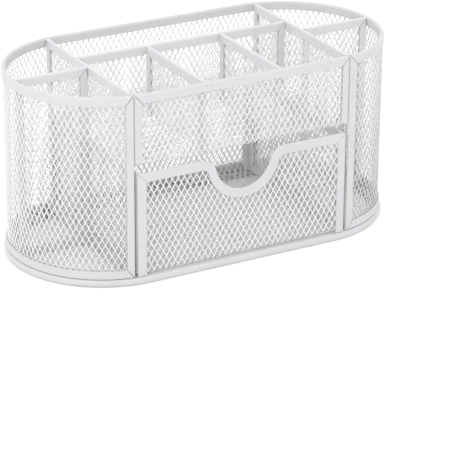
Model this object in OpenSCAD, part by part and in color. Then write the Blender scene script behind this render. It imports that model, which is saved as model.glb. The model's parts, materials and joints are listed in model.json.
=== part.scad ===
// Desk organizer in expanded steel mesh: a stadium-shaped outer wall with folded
// steel strips on every edge, eight open compartments, and one drawer at the front.
// Millimetres. Origin at the middle of the footprint, +X to the right along the
// length, -Y to the front, where the drawer opens, and +Z up from the desk.
// Each mesh panel is drawn as a plain sheet of the mesh's thickness.

/* [Overall] */
// Length over the rims
body_l = 221; // [200:1:240]
// Depth over the rims, front to back
body_d = 107; // [100:0.5:112]
// Height to the top of the rims
body_h = 106; // [100:0.5:120]

/* [Mesh and strips] */
// Thickness of the expanded mesh sheet
mesh_t = 0.6; // [0.4:0.05:0.8]
// Thickness of a folded strip
strip_t = 2; // [1.8:0.05:2.3]
// Thickness of the rim strips, which are folded wider
rim_t = 2.4; // [2.2:0.05:2.8]
// How far the rim's middle lies inside the wall's
rim_in = 0.5; // [0:0.05:0.6]
// Height of a strip that runs level
rail_h = 5; // [4:0.1:6]
// Width of a strip that stands upright
post_w = 4.2; // [3.5:0.1:5]
// Solid metal between a strip's back and its slot
fold_t = 0.7; // [0.5:0.05:0.9]
// Gap on each side of the mesh in a strip's slot
slot_gap = 0.05; // [0.03:0.01:0.1]
// Width of the open mitre cut at a corner
mitre_gap = 0.45; // [0.3:0.05:0.6]
// Radius on the outer corner of a frame
corner_r = 1.5; // [1:0.1:2]
// How far the fold's metal reaches whole round a corner
corner_web = 1.9; // [1.5:0.1:2.2]
// Gap between pieces that are welded edge to edge
seam_gap = 0.12; // [0.05:0.01:0.2]

/* [Base] */
// Height of the ring that the organizer stands on
ring_h = 3.8; // [3.2:0.1:4.5]
// Width of the ring, measured inwards
ring_w = 6.2; // [5:0.1:7]
// How far the ring stands out past the foot of the wall
ring_out = 0.9; // [0:0.1:1.5]
// Radius on the ring's outer edges
ring_edge_r = 1.3; // [0.8:0.1:1.5]

/* [Front panel and shelf] */
// Distance of each front seam from the middle
seam_x = 65.3; // [62:0.1:70]
// Gap over the drawer, up to the shelf
drawer_top_gap = 3.9; // [3:0.1:8]
// Radius inside the bend from the front panel to the shelf
bend_r = 1.2; // [0.8:0.1:2]
// Gap between the front panel and a seam
front_gap = 0.3; // [0.2:0.05:0.4]

/* [Dividers] */
// Distance of the long divider behind the middle
long_y = 14.8; // [5:0.5:25]
// Distance of each short divider from the middle
short_x = 22.7; // [15:0.5:30]
// Distance of the end dividers in front of the middle
end_y = 1; // [-5:0.5:5]

/* [Drawer] */
// Gap on each side of the drawer between the cross dividers
drawer_side_gap = 0.6; // [0.4:0.05:1]
// Gap under the drawer, over the ring that carries it
drawer_run_gap = 0.3; // [0.2:0.05:0.4]
// Height of the drawer
drawer_h = 58.2; // [50:0.2:64]
// How far the drawer's face stands in front of the front strips
drawer_proud = 0.3; // [0:0.1:1]
// Gap behind the drawer's back corners
drawer_back_gap = 0.5; // [0.4:0.1:3]
// Width of the drawer's upright strips
drawer_post_w = 5; // [4:0.1:5.5]
// Width of the mitre cuts at the drawer's corners
drawer_mitre_gap = 0.2; // [0.1:0.05:0.6]
// Radius on the outer corners of the drawer's frames
drawer_corner_r = 1.8; // [1:0.1:2]
// Depth of the finger scoop
scoop_depth = 19.8; // [16:0.2:21]
// Radius of the bottom of the scoop
scoop_valley_r = 17; // [15:0.5:19]
// Radius of the scoop's shoulders
scoop_shoulder_r = 9; // [7:0.5:12]
// Height of the drawer's mesh floor over its lowest edge
floor_rise = 0.7; // [0.5:0.1:1.2]

/* [Hidden] */
$fn = 64;

// Cutters reach this far past what they cut
over = 1;
// Hairline between lengths of one bent strip, and the pin inside the fold that joins them
joint_gap = 0.02;
pin_l = 1.6;
pin_inset = fold_t / 4;
// White powder coat on strips, and on mesh
strip_white = [0.93, 0.93, 0.94];
mesh_white = [0.86, 0.87, 0.88];

// The slot in a strip, and where the mesh ends in it
slot_w = mesh_t + 2 * slot_gap;
mesh_inset = fold_t + slot_gap;

// Worked-out places are rounded to a hundredth, so that touching faces meet exactly
function hundredth(v) = round(v * 100) / 100;
// How far a circle of radius r reaches at the distance d off its middle line
function reach(r, d) = hundredth(sqrt(pow(r, 2) - pow(d, 2)));

// The plan: two half circles joined by straight sides
outer_r = body_d / 2;
arc_x = body_l / 2 - outer_r;
rim_inner_r = outer_r - rim_t;
wall_r = outer_r - rim_t / 2 + rim_in;
ring_r = wall_r + strip_t / 2 + ring_out;
// Angle of the front seams from straight ahead, round the end circles
seam_a = asin((seam_x - arc_x) / wall_r);
// Middle plane of the front panel, on the chord between the seams and in line with the rim
front_y = rim_in - reach(wall_r, seam_x - arc_x);
front_w = 2 * (seam_x - front_gap);
strip_face_y = front_y - rim_t / 2;
foot_z = ring_h + seam_gap;
drawer_z0 = ring_h + drawer_run_gap;
// Middle plane of the shelf, over the drawer
shelf_z = drawer_z0 + drawer_h + drawer_top_gap + mesh_t / 2;
shelf_top_z = shelf_z + mesh_t / 2 + seam_gap;
front_foot_z = shelf_z + mesh_t / 2 + bend_r;

// Cross dividers run from one side of the wall to the other, behind the seams
cross_x = seam_x;
cross_l = 2 * (reach(rim_inner_r, cross_x - arc_x + strip_t / 2) - seam_gap);
divider_h = body_h - foot_z;
upper_h = body_h - shelf_top_z;
cross_face_x = cross_x - strip_t / 2;
end_x0 = cross_x + strip_t / 2 + seam_gap;
end_x1 = arc_x + reach(rim_inner_r, abs(end_y) + strip_t / 2) - seam_gap;
short_y0 = front_y + rim_t / 2 + seam_gap;
short_y1 = long_y - strip_t / 2 - seam_gap;

// The drawer, from its face at the front to its back strips
drawer_w = 2 * (cross_face_x - drawer_side_gap);
drawer_y0 = strip_face_y - drawer_proud;
drawer_y1 = reach(wall_r - strip_t / 2, drawer_w / 2 - arc_x) - drawer_back_gap;
drawer_side_l = drawer_y1 - drawer_y0 - 2 * strip_t - 2 * seam_gap;
drawer_mid_y = (drawer_y0 + drawer_y1) / 2;
drawer_side_x = (drawer_w - strip_t) / 2;
floor_z = drawer_z0 + floor_rise;
floor_w = drawer_w - 2 * strip_t - 2 * seam_gap;
// The tray's bends pass between the upright strips
bend_w = drawer_w - 2 * drawer_post_w - 2 * seam_gap;

// The scoop: a valley arc and two shoulder arcs that meet on a common tangent
scoop_sum_r = scoop_valley_r + scoop_shoulder_r;
scoop_half_w = reach(scoop_sum_r, scoop_sum_r - scoop_depth);
scoop_a = acos((scoop_sum_r - scoop_depth) / scoop_sum_r);
scoop_valley_z = drawer_h - scoop_depth + scoop_valley_r;
scoop_shoulder_z = drawer_h - scoop_shoulder_r;

// ---- Strips ----

// Section of a folded strip: rounded back at y = 0, open slot at y = -wide, and its
// middle off the slot's by inset
module strip_profile(wide, thick, inset = 0) {
    difference() {
        translate([-inset, 0]) union() {
            translate([0, -thick / 2]) circle(d = thick);
            translate([-thick / 2, -wide]) square([thick, wide - thick / 2]);
        }
        translate([-slot_w / 2, -wide - over]) square([slot_w, wide - fold_t + over]);
    }
}

// Section of the base ring: rounded outer edges at x = 0, slot open inwards
module ring_profile() {
    difference() {
        union() {
            for (z = [ring_edge_r, ring_h - ring_edge_r])
                translate([-ring_edge_r, z]) circle(r = ring_edge_r);
            translate([-ring_w, 0]) square([ring_w - ring_edge_r, ring_h]);
            translate([-ring_edge_r - over / 2, ring_edge_r])
                square([ring_edge_r + over / 2, ring_h - 2 * ring_edge_r]);
        }
        translate([-ring_w - over, (ring_h - slot_w) / 2])
            square([ring_w - fold_t - ring_edge_r / 2 + over, slot_w]);
    }
}

// A level strip along +X from the origin, back upwards
module rail(length, wide, thick) {
    rotate([90, 0, 90]) linear_extrude(length) strip_profile(wide, thick);
}

// An outline in X and Z, made as thick as its cutter needs along Y
module upright(thick) {
    rotate([90, 0, 0]) linear_extrude(thick, center = true) children();
}

// Rounds the corner at the origin, whose metal lies towards +X and -Z
module corner_cut(thick, r) {
    upright(thick + 2 * over) difference() {
        translate([-over, -r]) square([r + over, r + over]);
        translate([r, -r]) circle(r = r);
    }
}

// The fold's metal that stays whole round a corner, which lies towards +X and -Z
module web(thick) {
    inset = (thick - slot_w) / 4;
    translate([inset, -thick / 2 + inset, -corner_web])
        cube([fold_t - inset, thick - 2 * inset, corner_web - inset]);
    translate([inset, -thick / 2 + inset, -fold_t])
        cube([corner_web - inset, thick - 2 * inset, fold_t - inset]);
}

// Outline of a level strip between its mitres, for a frame w wide whose edge is at z = 0
module rail_outline(w, post, gap) {
    polygon([[-w / 2 + gap, 0], [w / 2 - gap, 0],
        [w / 2 - post - gap, -rail_h], [-w / 2 + post + gap, -rail_h]]);
}

// Strips round a w by h panel that stands on z = 0, without a strip below unless foot is true
module frame(w, h, thick, foot, post = post_w, gap = mitre_gap, r = corner_r) {
    foot_rise = foot ? rail_h : 0;
    difference() {
        union() {
            intersection() {
                translate([-w / 2, 0, h]) rail(w, rail_h, thick);
                translate([0, 0, h]) upright(thick + over) rail_outline(w, post, gap);
            }
            if (foot) mirror([0, 0, 1]) intersection() {
                translate([-w / 2, 0, 0]) rail(w, rail_h, thick);
                upright(thick + over) rail_outline(w, post, gap);
            }
            for (side = [0, 1]) mirror([side, 0, 0]) {
                intersection() {
                    translate([-w / 2, 0, 0]) linear_extrude(h) rotate(90)
                        strip_profile(post, thick);
                    upright(thick + over) polygon([[-w / 2, 0], [-w / 2, h],
                        [-w / 2 + post, h - rail_h], [-w / 2 + post, foot_rise]]);
                }
                translate([-w / 2, 0, h]) web(thick);
                if (foot) translate([-w / 2, 0, 0]) mirror([0, 0, 1]) web(thick);
            }
        }
        for (side = [0, 1]) mirror([side, 0, 0]) {
            translate([-w / 2, 0, h]) corner_cut(thick, r);
            if (foot) translate([-w / 2, 0, 0]) mirror([0, 0, 1]) corner_cut(thick, r);
        }
    }
}

// The sheet that such a frame holds
module sheet(w, h, foot) {
    low = foot ? mesh_inset : 0;
    translate([-w / 2 + mesh_inset, -mesh_t / 2, low])
        cube([w - 2 * mesh_inset, mesh_t, h - mesh_inset - low]);
}

// ---- The outer wall ----

// Sweeps a section (x outwards, y up) round both ends and along the back,
// from inset degrees past one front seam to the same place at the other
module wall_sweep(inset) {
    for (side = [0, 1]) mirror([side, 0, 0]) translate([-arc_x, 0, 0]) rotate([0, 0, 90])
        rotate_extrude(angle = 180 - seam_a - inset) translate([wall_r, 0]) children();
    translate([-arc_x, wall_r, 0]) rotate([90, 0, 90]) linear_extrude(2 * arc_x) children();
}

// An outline in arc length from the right seam and in height, cut through the wall there
module seam_cut() {
    translate([arc_x, 0, 0]) rotate([0, 0, seam_a]) translate([0, -wall_r, 0])
        upright(2 * rim_t) children();
}

// What a mitre takes off the end of a wall strip, over the post
module mitre_wedge() {
    past = over * post_w / rail_h;
    polygon([[-post_w, over], [mitre_gap - past, over],
        [post_w + mitre_gap + past, -rail_h - over], [-post_w, -rail_h - over]]);
}

module outer_wall_mesh() {
    low = foot_z + mesh_inset;
    end_a = mesh_inset / wall_r * 180 / PI;
    color(mesh_white) wall_sweep(end_a)
        translate([-mesh_t / 2, low]) square([mesh_t, body_h - mesh_inset - low]);
}

module top_rim() {
    color(strip_white) difference() {
        translate([0, 0, body_h]) wall_sweep(0) strip_profile(rail_h, rim_t, rim_in);
        for (side = [0, 1]) mirror([side, 0, 0])
            translate([0, 0, body_h]) seam_cut() mitre_wedge();
    }
}

module wall_foot_strip() {
    color(strip_white) difference() {
        translate([0, 0, foot_z]) mirror([0, 0, 1]) wall_sweep(0) strip_profile(rail_h, strip_t);
        for (side = [0, 1]) mirror([side, 0, 0])
            translate([0, 0, foot_z]) mirror([0, 0, 1]) seam_cut() mitre_wedge();
    }
}

module wall_post() {
    post_a = post_w / wall_r * 180 / PI;
    back_a = strip_t / 2 / wall_r * 180 / PI;
    slot_a = fold_t / wall_r * 180 / PI;
    h = body_h - foot_z;
    intersection() {
        translate([arc_x, 0, foot_z]) difference() {
            union() {
                rotate([0, 0, seam_a + back_a - 90]) rotate_extrude(angle = post_a - back_a)
                    translate([wall_r - strip_t / 2, 0]) square([strip_t, h]);
                rotate([0, 0, seam_a + back_a - 90]) translate([wall_r, 0, 0])
                    cylinder(d = strip_t, h = h);
            }
            rotate([0, 0, seam_a + slot_a - 90]) rotate_extrude(angle = post_a)
                translate([wall_r - slot_w / 2, -over]) square([slot_w, h + 2 * over]);
        }
        seam_cut() polygon([[-over, foot_z - over], [-over, body_h + over],
            [-over * post_w / rail_h, body_h + over], [post_w, body_h - rail_h],
            [post_w + over, body_h - rail_h - over], [post_w + over, foot_z + rail_h + over],
            [post_w, foot_z + rail_h], [-over * post_w / rail_h, foot_z - over]]);
    }
}

module right_wall_post() { color(strip_white) wall_post(); }

module left_wall_post() { color(strip_white) mirror([1, 0, 0]) wall_post(); }

// ---- The base ----

module base_ring() {
    color(strip_white) for (side = [0, 1]) {
        mirror([side, 0, 0]) translate([arc_x, 0, 0]) rotate([0, 0, -90])
            rotate_extrude(angle = 180) translate([ring_r, 0]) ring_profile();
        mirror([0, side, 0]) translate([-arc_x, ring_r, 0])
            rotate([90, 0, 90]) linear_extrude(2 * arc_x) ring_profile();
    }
}

module base_mesh() {
    sheet_r = ring_r - fold_t - ring_edge_r / 2 - slot_gap;
    color(mesh_white) translate([0, 0, (ring_h - mesh_t) / 2]) linear_extrude(mesh_t) {
        for (side = [-1, 1]) translate([side * arc_x, 0]) circle(r = sheet_r);
        translate([-arc_x, -sheet_r]) square([2 * arc_x, 2 * sheet_r]);
    }
}

// ---- The front panel and the shelf, one sheet bent under the panel ----

module front_shelf_mesh() {
    half_w = cross_face_x - seam_gap;
    panel_w = front_w - 2 * mesh_inset;
    back_y = reach(wall_r - mesh_t / 2, half_w - arc_x) - seam_gap;
    bend_y = front_y + mesh_t / 2 + bend_r;
    color(mesh_white) union() {
        translate([-panel_w / 2, front_y - mesh_t / 2, front_foot_z])
            cube([panel_w, mesh_t, body_h - mesh_inset - front_foot_z]);
        translate([-half_w, bend_y, shelf_z - mesh_t / 2])
            cube([2 * half_w, back_y - bend_y, mesh_t]);
        translate([-half_w, bend_y, front_foot_z]) rotate([90, 0, 90]) linear_extrude(2 * half_w)
            bend_outline(bend_r);
    }
}

// A quarter of a round bend in a sheet, from straight down to level, centred on the origin
module bend_outline(r) {
    intersection() {
        difference() {
            circle(r = r + mesh_t);
            circle(r = r);
        }
        translate([-r - mesh_t - over, -r - mesh_t - over])
            square(r + mesh_t + over);
    }
}

module front_panel_frame() {
    color(strip_white) translate([0, front_y, front_foot_z])
        frame(front_w, body_h - front_foot_z, rim_t, false);
}

// ---- Dividers ----

// Places a panel that runs front to back, with its middle at x and y
module along_y(x, y, z) {
    translate([x, y, z]) rotate([0, 0, 90]) children();
}

module cross_mesh(side) {
    color(mesh_white) along_y(side * cross_x, 0, foot_z)
        sheet(cross_l, divider_h, true);
}

module cross_frame(side) {
    color(strip_white) along_y(side * cross_x, 0, foot_z)
        frame(cross_l, divider_h, strip_t, true);
}

module long_divider_mesh() {
    color(mesh_white) translate([0, long_y, shelf_top_z])
        sheet(2 * (cross_face_x - seam_gap), upper_h, false);
}

module long_divider_frame() {
    color(strip_white) translate([0, long_y, shelf_top_z])
        frame(2 * (cross_face_x - seam_gap), upper_h, strip_t, false);
}

module short_mesh(side) {
    color(mesh_white) along_y(side * short_x, (short_y0 + short_y1) / 2, shelf_top_z)
        sheet(short_y1 - short_y0, upper_h, false);
}

module short_frame(side) {
    color(strip_white) along_y(side * short_x, (short_y0 + short_y1) / 2, shelf_top_z)
        frame(short_y1 - short_y0, upper_h, strip_t, false);
}

module end_mesh(side) {
    color(mesh_white) translate([side * (end_x0 + end_x1) / 2, -end_y, foot_z])
        sheet(end_x1 - end_x0, divider_h, true);
}

module end_frame(side) {
    color(strip_white) translate([side * (end_x0 + end_x1) / 2, -end_y, foot_z])
        frame(end_x1 - end_x0, divider_h, strip_t, true);
}

// ---- Drawer ----

// Points of an arc in X and Z, from angle a0 to a1
function arc_points(x, z, r, a0, a1, steps) =
    [for (i = [0 : steps]) let (a = a0 + (a1 - a0) * i / steps) [x + r * cos(a), z + r * sin(a)]];

// Strips round a panel of the drawer
module drawer_frame(w, foot) {
    frame(w, drawer_h, strip_t, foot, drawer_post_w, drawer_mitre_gap, drawer_corner_r);
}

// The scoop's outline, lowered by inset, as a hole that is open above
module scoop_hole(inset) {
    steps = 16;
    polygon(concat(
        [[-scoop_half_w, drawer_h + over]],
        arc_points(-scoop_half_w, scoop_shoulder_z, scoop_shoulder_r - inset, 90, 90 - scoop_a, steps),
        arc_points(0, scoop_valley_z, scoop_valley_r + inset, 270 - scoop_a, 270 + scoop_a, 2 * steps),
        arc_points(scoop_half_w, scoop_shoulder_z, scoop_shoulder_r - inset, 90 + scoop_a, 90, steps),
        [[scoop_half_w, drawer_h + over]]));
}

// An upright panel of the tray, on z = 0
module tray_panel(w, h) {
    translate([-w / 2, -mesh_t / 2, 0]) cube([w, mesh_t, h]);
}

// The mesh of the drawer's front, floor and back, one sheet bent up at both ends
module drawer_tray_mesh() {
    bend_z = floor_z + mesh_t / 2 + bend_r;
    panel_w = drawer_w - 2 * mesh_inset;
    panel_h = drawer_z0 + drawer_h - mesh_inset - bend_z;
    front_mid_y = drawer_y0 + strip_t / 2;
    back_mid_y = drawer_y1 - strip_t / 2;
    floor_l = back_mid_y - front_mid_y - mesh_t - 2 * bend_r;
    color(mesh_white) union() {
        translate([0, back_mid_y, bend_z]) tray_panel(panel_w, panel_h);
        difference() {
            translate([0, front_mid_y, bend_z]) tray_panel(panel_w, panel_h);
            translate([0, front_mid_y, drawer_z0]) upright(mesh_t + over) scoop_hole(mesh_inset);
        }
        translate([-floor_w / 2, drawer_mid_y - floor_l / 2, floor_z - mesh_t / 2])
            cube([floor_w, floor_l, mesh_t]);
        translate([0, drawer_mid_y, bend_z]) for (side = [0, 1]) mirror([0, side, 0])
            translate([-bend_w / 2, -floor_l / 2, 0]) rotate([90, 0, 90])
                linear_extrude(bend_w) bend_outline(bend_r);
    }
}

// A pin inside the fold of a strip, whose back is at the origin and faces up
module fold_pin() {
    translate([-pin_l / 2, -strip_t / 4, pin_inset - fold_t])
        cube([pin_l, strip_t / 2, fold_t - 2 * pin_inset]);
}

// The strip that dips round the scoop: a valley, a shoulder on each side, and their pins
module scoop_strip() {
    joint_a = joint_gap / scoop_shoulder_r * 180 / PI;
    translate([0, 0, scoop_valley_z]) rotate([90, 0, 0]) rotate([0, 0, -90 - scoop_a])
        rotate_extrude(angle = 2 * scoop_a) translate([scoop_valley_r, 0]) rotate(90)
            strip_profile(rail_h, strip_t);
    for (side = [0, 1]) mirror([side, 0, 0]) {
        translate([scoop_half_w, 0, scoop_shoulder_z]) rotate([90, 0, 0])
            rotate([0, 0, 90 + joint_a]) rotate_extrude(angle = scoop_a - 2 * joint_a)
                translate([scoop_shoulder_r, 0]) rotate(-90) strip_profile(rail_h, strip_t);
        translate([scoop_half_w, 0, drawer_h]) fold_pin();
        translate([0, 0, scoop_valley_z]) rotate([0, -scoop_a, 0])
            translate([0, 0, -scoop_valley_r]) fold_pin();
    }
}

module drawer_front_frame() {
    color(strip_white) translate([0, drawer_y0 + strip_t / 2, drawer_z0]) union() {
        difference() {
            drawer_frame(drawer_w, false);
            translate([-scoop_half_w, -strip_t, drawer_h - rail_h - over])
                cube([2 * scoop_half_w, 2 * strip_t, rail_h + 2 * over]);
        }
        scoop_strip();
    }
}

module drawer_back_frame() {
    color(strip_white) translate([0, drawer_y1 - strip_t / 2, drawer_z0])
        drawer_frame(drawer_w, false);
}

module drawer_side_mesh(side) {
    color(mesh_white) along_y(side * drawer_side_x, drawer_mid_y, drawer_z0)
        sheet(drawer_side_l, drawer_h, true);
}

module drawer_side_frame(side) {
    color(strip_white) along_y(side * drawer_side_x, drawer_mid_y, drawer_z0)
        drawer_frame(drawer_side_l, true);
}

outer_wall_mesh();
top_rim();
wall_foot_strip();
left_wall_post();
right_wall_post();
base_ring();
base_mesh();
front_shelf_mesh();
front_panel_frame();
cross_mesh(-1);  // left_cross_mesh
cross_frame(-1);  // left_cross_frame
cross_mesh(1);  // right_cross_mesh
cross_frame(1);  // right_cross_frame
long_divider_mesh();
long_divider_frame();
short_mesh(-1);  // left_short_mesh
short_frame(-1);  // left_short_frame
short_mesh(1);  // right_short_mesh
short_frame(1);  // right_short_frame
end_mesh(-1);  // left_end_mesh
end_frame(-1);  // left_end_frame
end_mesh(1);  // right_end_mesh
end_frame(1);  // right_end_frame
drawer_tray_mesh();
drawer_front_frame();
drawer_back_frame();
drawer_side_mesh(-1);  // drawer_left_mesh
drawer_side_frame(-1);  // drawer_left_frame
drawer_side_mesh(1);  // drawer_right_mesh
drawer_side_frame(1);  // drawer_right_frame
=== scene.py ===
import json
import math

import bpy
import numpy as np
from mathutils import Matrix, Vector


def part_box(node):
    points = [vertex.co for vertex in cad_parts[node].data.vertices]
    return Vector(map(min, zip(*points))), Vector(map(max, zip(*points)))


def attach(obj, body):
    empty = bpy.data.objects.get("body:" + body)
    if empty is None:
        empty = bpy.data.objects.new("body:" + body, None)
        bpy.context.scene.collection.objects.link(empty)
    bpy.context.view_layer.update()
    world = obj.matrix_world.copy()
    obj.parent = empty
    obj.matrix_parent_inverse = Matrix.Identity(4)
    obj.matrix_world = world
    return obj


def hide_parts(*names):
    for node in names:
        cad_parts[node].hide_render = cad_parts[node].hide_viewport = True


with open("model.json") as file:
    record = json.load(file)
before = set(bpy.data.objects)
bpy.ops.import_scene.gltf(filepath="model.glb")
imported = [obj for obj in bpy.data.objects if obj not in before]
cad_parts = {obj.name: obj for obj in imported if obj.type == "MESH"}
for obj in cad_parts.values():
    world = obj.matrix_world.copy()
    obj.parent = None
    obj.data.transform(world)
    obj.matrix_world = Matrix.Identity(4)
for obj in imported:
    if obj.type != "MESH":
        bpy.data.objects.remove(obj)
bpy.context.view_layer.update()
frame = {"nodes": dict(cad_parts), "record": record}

MM = 0.001
# The organizer's own sizes, in millimetres, as in the CAD model
BODY_L, BODY_D = 221.0, 107.0
RIM_T, RIM_IN, MESH_T = 2.4, 0.5, 0.6
SEAM_X = 65.3
# How deep the mesh stands in from a strip's back, and the inner radius of a bent sheet
MESH_INSET = 0.75
BEND_R = 1.2
BEND_MID_R = BEND_R + MESH_T / 2
# The middle of each round end, and the radius of the outer wall's sheet
ARC_X = (BODY_L - BODY_D) / 2
WALL_R = BODY_D / 2 - RIM_T / 2 + RIM_IN
# Clearances of the front sheet at its ends and of the drawer's floor beside the side frames
SHEET_END_GAP, FLOOR_GAP = 0.07, 0.12
# The drawer's front posts with that clearance, and its finger scoop
DRAWER_POST = 5.12
SCOOP_DEPTH, VALLEY_R, SHOULDER_R = 19.8, 17.0, 9.0

# ---- Expanded mesh ----

# Pitch of the diamonds across and along
PITCH_U, PITCH_V = 3.62, 6.2
# The outer wall's mesh is drawn out a little finer than the drawer's
WALL_STRETCH = (0.94, 1.02)
# Half the width and half the length of an opening, and the length of its blunt sides
HOLE_U, HOLE_V, FLAT_V = 1.45, 2.46, 0.52
# How far an opening's four long edges bow outwards
BULGE_U, BULGE_V = 0.03, 0.018
# Thickness of a strand, and how far it leans out of the sheet at an opening's sides
STRAND_T, LEAN = 0.34, 0.11
# One opening's outline, anticlockwise from its lowest point: across, along, lean
MID_U, MID_V = HOLE_U / 2 + BULGE_U, (HOLE_V + FLAT_V / 2) / 2 + BULGE_V
OPENING = [(0, -HOLE_V, 0), (MID_U, -MID_V, 0.5), (HOLE_U, -FLAT_V / 2, 1),
           (HOLE_U, FLAT_V / 2, 1), (MID_U, MID_V, 0.5), (0, HOLE_V, 0),
           (-MID_U, MID_V, -0.5), (-HOLE_U, FLAT_V / 2, -1), (-HOLE_U, -FLAT_V / 2, -1),
           (-MID_U, -MID_V, -0.5)]
# The outline's points by name: bottom, right, top and left
B, RL, R1, R2, RU, T, LU, L2, L1, LL = range(10)
# Spare openings laid past each edge of a sheet, to be cut away
SPARE = 3
# Cuts across each bend, so that it turns in short flats
BEND_CUTS = 5


class Sheet:
    """An expanded sheet laid out flat: convex faces between the openings, cut to an outline."""

    def __init__(self, u0, u1, v0, v1, phase_u=0.0, phase_v=0.0, stretch=(1.0, 1.0)):
        su, sv = stretch
        hu, hv = PITCH_U / 2 * su, PITCH_V / 2 * sv
        i0, i1 = math.floor((u0 - phase_u) / hu) - SPARE, math.ceil((u1 - phase_u) / hu) + SPARE
        j0, j1 = math.floor((v0 - phase_v) / hv) - SPARE, math.ceil((v1 - phase_v) / hv) + SPARE
        self.uvw, self.faces, self.cuts = [], [], {}
        ids = {}
        for j in range(j0, j1 + 1):
            for i in range(i0, i1 + 1):
                if (i + j) % 2 == 0:
                    ids[i, j] = len(self.uvw)
                    at_u, at_v = phase_u + i * hu, phase_v + j * hv
                    for du, dv, lean in OPENING:
                        self.uvw.append((at_u + du * su, at_v + dv * sv, lean))
        for j in range(j0 + 1, j1):
            for i in range(i0 + 1, i1):
                if (i + j) % 2 == 0:
                    continue
                dn, up = ids.get((i, j - 1)), ids.get((i, j + 1))
                lf, rt = ids.get((i - 1, j)), ids.get((i + 1, j))
                if None in (dn, up, lf, rt):
                    continue
                self.faces.append([dn + T, rt + L1, rt + L2, up + B, lf + R2, lf + R1])
                # The strand up and to the right, in two lengths, then the one up and to the left
                self.faces.append([rt + L2, rt + LU, up + RL, up + B])
                self.faces.append([rt + LU, rt + T, up + R1, up + RL])
                self.faces.append([up + B, up + LL, lf + RU, lf + R2])
                self.faces.append([up + LL, up + L1, lf + T, lf + RU])

    def cut(self, axis, at, keep):
        """Cuts along u (axis 0) or v (axis 1): keep is -1 for below, 1 for above and 0 for both."""
        line = (axis, at)
        side = [p[axis] - at for p in self.uvw]

        def crossing(a, b):
            key = (min(a, b), max(a, b), line)
            if key not in self.cuts:
                t = side[a] / (side[a] - side[b])
                pa, pb = self.uvw[a], self.uvw[b]
                self.cuts[key] = len(self.uvw)
                self.uvw.append(tuple(x + (y - x) * t for x, y in zip(pa, pb)))
            return self.cuts[key]

        out = []
        for f in self.faces:
            s = [side[k] for k in f]
            if min(s) >= 0:
                if keep >= 0:
                    out.append(f)
                continue
            if max(s) <= 0:
                if keep <= 0:
                    out.append(f)
                continue
            for sign in (-1, 1):
                if keep == -sign:
                    continue
                part = []
                for n, a in enumerate(f):
                    b = f[(n + 1) % len(f)]
                    if side[a] * sign >= 0:
                        part.append(a)
                    if side[a] * side[b] < 0:
                        part.append(crossing(a, b))
                if len(part) > 2:
                    out.append(part)
        self.faces = out
        return self

    def trim(self, u0, u1, v0, v1):
        """Cuts away what lies beyond the rectangle."""
        return self.cut(0, u0, 1).cut(0, u1, -1).cut(1, v0, 1).cut(1, v1, -1)

    def cut_bends(self, bends):
        """Cuts the sheet across each bend, so that its faces follow the curve."""
        for a, b in bends:
            for k in range(BEND_CUTS):
                self.cut(1, a + (b - a) * k / (BEND_CUTS - 1), 0)
        return self

    def keep(self, test):
        """Keeps the faces that lie wholly where test(u, v) is true."""
        ok = [test(p[0], p[1]) for p in self.uvw]
        self.faces = [f for f in self.faces if all(ok[k] for k in f)]
        return self

    def keep_faces(self, test):
        """Keeps the faces whose middle is where test(u, v) is true."""
        self.faces = [f for f in self.faces if test(*np.mean([self.uvw[k][:2] for k in f], 0))]
        return self

    def build(self, name, place):
        """Gives the sheet its thickness. place(u, v, w) turns arrays in mm into x, y and z in mm."""
        used = sorted({k for f in self.faces for k in f})
        index = {k: n for n, k in enumerate(used)}
        pts = np.array([self.uvw[k] for k in used])
        n = len(used)
        w = pts[:, 2] * LEAN
        front = place(pts[:, 0], pts[:, 1], w + STRAND_T / 2)
        back = place(pts[:, 0], pts[:, 1], w - STRAND_T / 2)
        verts = np.concatenate([front, back]) * MM
        faces = [[index[k] for k in f] for f in self.faces]
        edges = {(a, b) for f in faces for a, b in zip(f, f[1:] + f[:1])}
        walls = [[b, a, a + n, b + n] for a, b in edges if (b, a) not in edges]
        walls.sort()
        mesh = bpy.data.meshes.new(name)
        mesh.from_pydata(verts.tolist(), [],
                         faces + [[k + n for k in reversed(f)] for f in faces] + walls)
        mesh.polygons.foreach_set("use_smooth", [True] * len(mesh.polygons))
        mesh.update()
        obj = bpy.data.objects.new(name, mesh)
        bpy.context.scene.collection.objects.link(obj)
        return obj


def stack(x, y, z):
    x, y, z = np.broadcast_arrays(x, y, z)
    return np.stack([x, y, z], 1).astype(float)


def flat_x(at):
    """A sheet across the X axis: u along +Y, v up."""
    return lambda u, v, w: stack(at + w, u, v)


def flat_y(at):
    """A sheet across the Y axis: u along +X, v up, w to the front."""
    return lambda u, v, w: stack(u, at - w, v)


def flat_z(at):
    """A level sheet: u along +X, v along +Y."""
    return lambda u, v, w: stack(u, v, at + w)


def wall_place(theta0):
    """The outer wall: u runs round from the right front seam, over the back, to the left one.

    Returns place and the sheet's length."""
    u1 = (math.pi / 2 - theta0) * WALL_R
    u2 = u1 + 2 * ARC_X

    def place(u, v, w):
        right, left = theta0 + u / WALL_R, math.pi / 2 + (u - u2) / WALL_R
        r = WALL_R + w
        x = np.where(u < u1, ARC_X + r * np.cos(right),
                     np.where(u < u2, ARC_X - (u - u1), -ARC_X + r * np.cos(left)))
        y = np.where(u < u1, r * np.sin(right), np.where(u < u2, r, r * np.sin(left)))
        return stack(x, y, v)

    return place, u1 + u2


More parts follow.
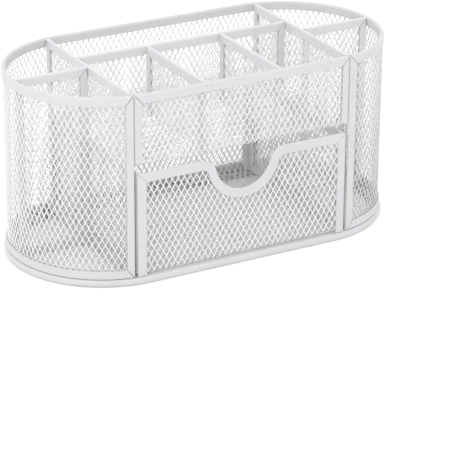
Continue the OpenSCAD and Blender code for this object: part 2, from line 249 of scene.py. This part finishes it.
def bent_place(path, radius):
    """A sheet bent along a path of straight runs in Y and Z.

    Returns place, where each bend starts and ends in v, and the sheet's length."""
    runs, v = [], 0.0
    pts = [np.array(p, float) for p in path]
    dirs = [(b - a) / np.linalg.norm(b - a) for a, b in zip(pts, pts[1:])]
    start = pts[0]
    for n, d in enumerate(dirs):
        last = n == len(dirs) - 1
        end = pts[n + 1] - (0 if last else radius) * d
        length = float(np.linalg.norm(end - start))
        runs.append((v, v + length, "run", start, d))
        v += length
        if not last:
            e = dirs[n + 1]
            centre = end + radius * e
            arc = radius * math.pi / 2
            runs.append((v, v + arc, "bend", centre, (d, e)))
            v += arc
            start = pts[n + 1] + radius * e

    def place(u, v, w):
        y, z = np.zeros_like(v), np.zeros_like(v)
        for n, (a, b, kind, at, d) in enumerate(runs):
            m = ((v >= a) | (n == 0)) & ((v < b) | (n == len(runs) - 1))
            if kind == "run":
                out = np.array([d[1], -d[0]])
                y[m] = at[0] + d[0] * (v[m] - a) + out[0] * w[m]
                z[m] = at[1] + d[1] * (v[m] - a) + out[1] * w[m]
            else:
                phi = (v[m] - a) / radius
                r = radius + w[m]
                y[m] = at[0] + r * (-d[1][0] * np.cos(phi) + d[0][0] * np.sin(phi))
                z[m] = at[1] + r * (-d[1][1] * np.cos(phi) + d[0][1] * np.sin(phi))
        return stack(u, y, z)

    return place, [(a, b) for a, b, kind, _, _ in runs if kind == "bend"], v


def ends(node):
    """A CAD node's lowest and highest corner, in mm."""
    lo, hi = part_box(node)
    return np.array(lo) / MM, np.array(hi) / MM


def dress(obj, node, material):
    """Puts a sheet in its CAD node's place, on the body that the node rides on."""
    body = next(b for b, ns in frame["record"]["behaviour"]["bodies"].items() if node in ns)
    obj.data.materials.append(material)
    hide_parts(node)
    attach(obj, body)


# ---- Materials ----

# Noise scales in the coat: cloudiness, gloss and orange peel
CLOUD_SCALE, GLOSS_SCALE, PEEL_SCALE = 55.0, 260.0, 1500.0
# How much darker the cloudiness goes, and how far the roughness strays either way
CLOUD_DEPTH, ROUGH_LESS, ROUGH_MORE = 0.965, 0.05, 0.07
PEEL_HEIGHT = 0.00006


def powder_coat(name, colour, rough, peel, seed):
    """Satin powder coat: a fine orange peel, a slight cloudiness, and gloss that varies a little."""
    m = bpy.data.materials.new(name)
    m.use_nodes = True
    t = m.node_tree
    p = t.nodes["Principled BSDF"]
    coord = t.nodes.new("ShaderNodeTexCoord")
    shift = t.nodes.new("ShaderNodeMapping")
    shift.inputs["Location"].default_value = (seed * 0.37, seed * 0.11, seed * 0.23)
    t.links.new(coord.outputs["Object"], shift.inputs["Vector"])

    def noise(scale, detail):
        n = t.nodes.new("ShaderNodeTexNoise")
        n.inputs["Scale"].default_value = scale
        n.inputs["Detail"].default_value = detail
        t.links.new(shift.outputs["Vector"], n.inputs["Vector"])
        return n

    def ramp(source, low, high):
        n = t.nodes.new("ShaderNodeValToRGB")
        for element, position, value in zip(n.color_ramp.elements, (0.3, 0.7), (low, high)):
            element.position, element.color = position, list(value) + [1.0]
        t.links.new(source.outputs["Fac"], n.inputs["Fac"])
        return n

    tint = ramp(noise(CLOUD_SCALE, 3.0), [c * CLOUD_DEPTH for c in colour], colour)
    t.links.new(tint.outputs["Color"], p.inputs["Base Color"])
    shine = ramp(noise(GLOSS_SCALE, 2.0), [rough - ROUGH_LESS] * 3, [rough + ROUGH_MORE] * 3)
    t.links.new(shine.outputs["Color"], p.inputs["Roughness"])
    skin = noise(PEEL_SCALE, 2.0)
    bump = t.nodes.new("ShaderNodeBump")
    bump.inputs["Strength"].default_value = peel
    bump.inputs["Distance"].default_value = PEEL_HEIGHT
    t.links.new(skin.outputs["Fac"], bump.inputs["Height"])
    t.links.new(bump.outputs["Normal"], p.inputs["Normal"])
    p.inputs["Specular IOR Level"].default_value = 0.5
    return m


# Roughness and depth of the peel on the strips and on the sheets
STRIP_SKIN, SHEET_SKIN = (0.38, 0.35), (0.42, 0.25)
strip_coat = powder_coat("strip_powder_coat", (0.70, 0.704, 0.707), *STRIP_SKIN, 1.0)
# The frames inside are the same white paint, written lighter than the outer strips as painted light
# that lifts the shade inside the wells
inner_painted_light_coat = powder_coat("inner_painted_light_powder_coat", (0.76, 0.764, 0.767), *STRIP_SKIN, 1.0)
# The strips round the drawer are a shade greener, and painted lighter than the outer strips, as
# painted light that lifts the shade inside the drawer's bay
drawer_painted_light_coat = powder_coat("drawer_painted_light_powder_coat", (0.785, 0.80, 0.775), *STRIP_SKIN, 5.0)
# The outer sheets; the ones inside are the same white paint written lighter, as painted light that
# lifts the shade inside the organizer
wall_coat = powder_coat("wall_powder_coat", (0.92, 0.924, 0.926), *SHEET_SKIN, 3.0)
inner_mesh_painted_light_coat = powder_coat("mesh_powder_coat", (0.955, 0.959, 0.961), *SHEET_SKIN, 2.0)

# The first word that a strip's name holds gives its coat; the frames inside and round the drawer get
# the coats painted lighter against their shade
COATS = {"drawer_front_frame": strip_coat, "drawer": drawer_painted_light_coat, "cross": inner_painted_light_coat,
         "divider": inner_painted_light_coat, "short": inner_painted_light_coat, "end": inner_painted_light_coat}
for name, obj in frame["nodes"].items():
    if not name.endswith("_mesh"):
        coat = next((c for word, c in COATS.items() if word in name), strip_coat)
        obj.data.materials.clear()
        obj.data.materials.append(coat)

# ---- The organizer's sheets ----

lo, hi = ends("outer_wall_mesh")
seam_turn = math.asin((SEAM_X - ARC_X) / WALL_R)
place, length = wall_place(-math.pi / 2 + seam_turn + MESH_INSET / WALL_R)
sheet = Sheet(0, length, lo[2], hi[2], 0.9, 1.7, WALL_STRETCH).trim(0, length, lo[2], hi[2])
dress(sheet.build("outer_wall_expanded", place), "outer_wall_mesh", wall_coat)

lo, hi = ends("base_mesh")
edge = hi[1]
sheet = Sheet(lo[0], hi[0], -edge, edge, 0.4, 0.3)
sheet.keep(lambda u, v: math.hypot(max(abs(u) - ARC_X, 0), v) < edge)
dress(sheet.build("base_expanded", flat_z((lo[2] + hi[2]) / 2)), "base_mesh", inner_mesh_painted_light_coat)

lo, hi = ends("front_shelf_mesh")
front_y, shelf_z = lo[1] + MESH_T / 2, lo[2] + MESH_T / 2
place, bends, length = bent_place([(hi[1], shelf_z), (front_y, shelf_z), (front_y, hi[2])], BEND_MID_R)
half = hi[0] - SHEET_END_GAP
sheet = Sheet(-half, half, 0, length, 0.2, 1.1).trim(-half, half, 0, length).cut_bends(bends)
dress(sheet.build("front_shelf_expanded", place), "front_shelf_mesh", wall_coat)

# Where each flat upright sheet's first opening lies, across and along
PHASES = {"left_cross_mesh": (0.6, 2.1), "right_cross_mesh": (1.3, 0.4),
          "long_divider_mesh": (0.1, 1.4),
          "left_short_mesh": (1.6, 0.7), "right_short_mesh": (0.8, 2.6),
          "left_end_mesh": (1.1, 1.9), "right_end_mesh": (0.3, 0.2),
          "drawer_left_mesh": (0.9, 2.3), "drawer_right_mesh": (1.5, 1.2)}
for node, (phase_u, phase_v) in PHASES.items():
    lo, hi = ends(node)
    thin = 0 if hi[0] - lo[0] < 1 else 1
    u0, u1 = lo[1 - thin], hi[1 - thin]
    sheet = Sheet(u0, u1, lo[2], hi[2], u0 + phase_u, lo[2] + phase_v).trim(u0, u1, lo[2], hi[2])
    place = (flat_x, flat_y)[thin]((lo[thin] + hi[thin]) / 2)
    dress(sheet.build(node.replace("_mesh", "_expanded"), place), node, inner_mesh_painted_light_coat)

# ---- The drawer's sheet: back, floor and front ----

lo, hi = ends("drawer_tray_mesh")
drawer_top = ends("drawer_front_frame")[1][2]
# The scoop's edge is an arc round the valley that runs into an arc over each shoulder
reach = VALLEY_R + SHOULDER_R
scoop_x = math.sqrt(reach ** 2 - (reach - SCOOP_DEPTH) ** 2)
valley_z, shoulder_z = drawer_top - SCOOP_DEPTH + VALLEY_R, drawer_top - SHOULDER_R
turn_x = (VALLEY_R + MESH_INSET) * scoop_x / reach


def scoop_edge(x):
    """How high the front sheet goes at x."""
    x = abs(x)
    if x < turn_x:
        return valley_z - math.sqrt((VALLEY_R + MESH_INSET) ** 2 - x * x)
    if x < scoop_x:
        return shoulder_z + math.sqrt(max((SHOULDER_R - MESH_INSET) ** 2 - (scoop_x - x) ** 2, 0))
    return drawer_top


y0, y1, z0 = lo[1] + MESH_T / 2, hi[1] - MESH_T / 2, lo[2] + MESH_T / 2
place, bends, length = bent_place([(y1, hi[2]), (y1, z0), (y0, z0), (y0, hi[2])], BEND_MID_R)
(a0, a1), (b0, b1) = bends
# Half widths of the upright parts, of the floor between the side frames, and of the bends
wide = hi[0]
floor_w = -ends("drawer_left_frame")[1][0] - FLOOR_GAP
bend_w = ends("drawer_front_frame")[1][0] - DRAWER_POST
sheet = Sheet(-wide, wide, 0, length, 0.5, 0.8).trim(-wide, wide, 0, length).cut_bends(bends)
for half in (floor_w, bend_w):
    sheet.cut(0, -half, 0).cut(0, half, 0)


def tray_keep(u, v):
    """Whether the sheet is as wide as u where it runs at v."""
    u = abs(u)
    if a0 < v < a1 or b0 < v < b1:
        return u < bend_w
    if a1 <= v <= b0:
        return u < floor_w
    return True


sheet.keep_faces(tray_keep)
sheet.keep(lambda u, v: v < b1 or v - b1 + z0 + BEND_MID_R < scoop_edge(u))
dress(sheet.build("drawer_tray_expanded", place), "drawer_tray_mesh", inner_mesh_painted_light_coat)

# ---- Floor, light and camera ----

FLOOR_HALF, FLOOR_Z = 4.0, -0.00015
# The floor's glow makes it white to the camera and in reflections, and leaves the shadow on it
FLOOR_WHITE, FLOOR_GLOW = 0.88, 0.20
WORLD_STRENGTH = 1.05
# Name, place, size and power of each lamp, all aimed at LAMP_AIM
LAMPS = (("key", (-0.95, -0.85, 1.3), 0.8, 5.3), ("top", (0.1, 0.2, 1.7), 1.2, 0.3))
LAMP_AIM = (0, 0, 0.05)

floor_mesh = bpy.data.meshes.new("floor")
floor_mesh.from_pydata([(x * FLOOR_HALF, y * FLOOR_HALF, FLOOR_Z)
                        for x, y in ((-1, -1), (1, -1), (1, 1), (-1, 1))], [], [(0, 1, 2, 3)])
floor = bpy.data.objects.new("floor", floor_mesh)
bpy.context.scene.collection.objects.link(floor)
floor_material = bpy.data.materials.new("floor_white")
floor_material.use_nodes = True
nodes, links = floor_material.node_tree.nodes, floor_material.node_tree.links
matt = nodes["Principled BSDF"]
matt.inputs["Base Color"].default_value = (FLOOR_WHITE, FLOOR_WHITE, FLOOR_WHITE, 1)
matt.inputs["Roughness"].default_value = 0.9
matt.inputs["Specular IOR Level"].default_value = 0.1
glow = nodes.new("ShaderNodeEmission")
glow.inputs["Color"].default_value = (1, 1, 1, 1)
path = nodes.new("ShaderNodeLightPath")
seen = nodes.new("ShaderNodeMath")
seen.operation = "MAXIMUM"
links.new(path.outputs["Is Camera Ray"], seen.inputs[0])
links.new(path.outputs["Is Glossy Ray"], seen.inputs[1])
dim = nodes.new("ShaderNodeMath")
dim.operation = "MULTIPLY"
dim.inputs[1].default_value = FLOOR_GLOW
links.new(seen.outputs[0], dim.inputs[0])
links.new(dim.outputs[0], glow.inputs["Strength"])
both = nodes.new("ShaderNodeAddShader")
links.new(matt.outputs[0], both.inputs[0])
links.new(glow.outputs[0], both.inputs[1])
links.new(both.outputs[0], nodes["Material Output"].inputs["Surface"])
floor_mesh.materials.append(floor_material)

world = bpy.data.worlds.new("studio")
bpy.context.scene.world = world
world.use_nodes = True
nodes, links = world.node_tree.nodes, world.node_tree.links
light = nodes["Background"]
light.inputs["Color"].default_value = (0.975, 0.98, 1.0, 1)
light.inputs["Strength"].default_value = WORLD_STRENGTH
backdrop = nodes.new("ShaderNodeBackground")
backdrop.inputs["Color"].default_value = (1, 1, 1, 1)
backdrop.inputs["Strength"].default_value = 1.0
path = nodes.new("ShaderNodeLightPath")
choose = nodes.new("ShaderNodeMixShader")
links.new(path.outputs["Is Camera Ray"], choose.inputs["Fac"])
links.new(light.outputs[0], choose.inputs[1])
links.new(backdrop.outputs[0], choose.inputs[2])
links.new(choose.outputs[0], nodes["World Output"].inputs["Surface"])

for name, at, size, power in LAMPS:
    data = bpy.data.lights.new(name, "AREA")
    data.shape = "DISK"
    data.size = size
    data.energy = power
    lamp = bpy.data.objects.new(name, data)
    lamp.location = at
    lamp.rotation_euler = (Vector(LAMP_AIM) - Vector(at)).to_track_quat("-Z", "Y").to_euler()
    bpy.context.scene.collection.objects.link(lamp)

# The photograph's camera: its angles, the point it looks at, its distance and focal length
AZ, EL, ROLL = math.radians(-29.8603), math.radians(23.7471), math.radians(0.5741)
TARGET, DIST = Vector((25.271, 0.22, -10.8566)) * MM, 1323.865 * MM
FOCAL_PX, FRAME_PX, SENSOR = 2340.9, 470.0, 36.0
back = Vector((math.sin(AZ) * math.cos(EL), -math.cos(AZ) * math.cos(EL), math.sin(EL)))
level = Vector((math.cos(AZ), math.sin(AZ), 0.0))
upright = back.cross(level)
right = math.cos(ROLL) * level + math.sin(ROLL) * upright
up = -math.sin(ROLL) * level + math.cos(ROLL) * upright
cam_data = bpy.data.cameras.new("camera")
cam_data.sensor_fit = "HORIZONTAL"
cam_data.sensor_width = SENSOR
cam_data.lens = SENSOR * FOCAL_PX / FRAME_PX
cam_data.clip_start, cam_data.clip_end = 0.01, 50.0
cam = bpy.data.objects.new("camera", cam_data)
turn = Matrix((right, up, back)).transposed()
cam.matrix_world = Matrix.Translation(TARGET + back * DIST) @ turn.to_4x4()
bpy.context.scene.collection.objects.link(cam)
bpy.context.scene.camera = cam
bpy.context.scene.view_settings.view_transform = "Standard"
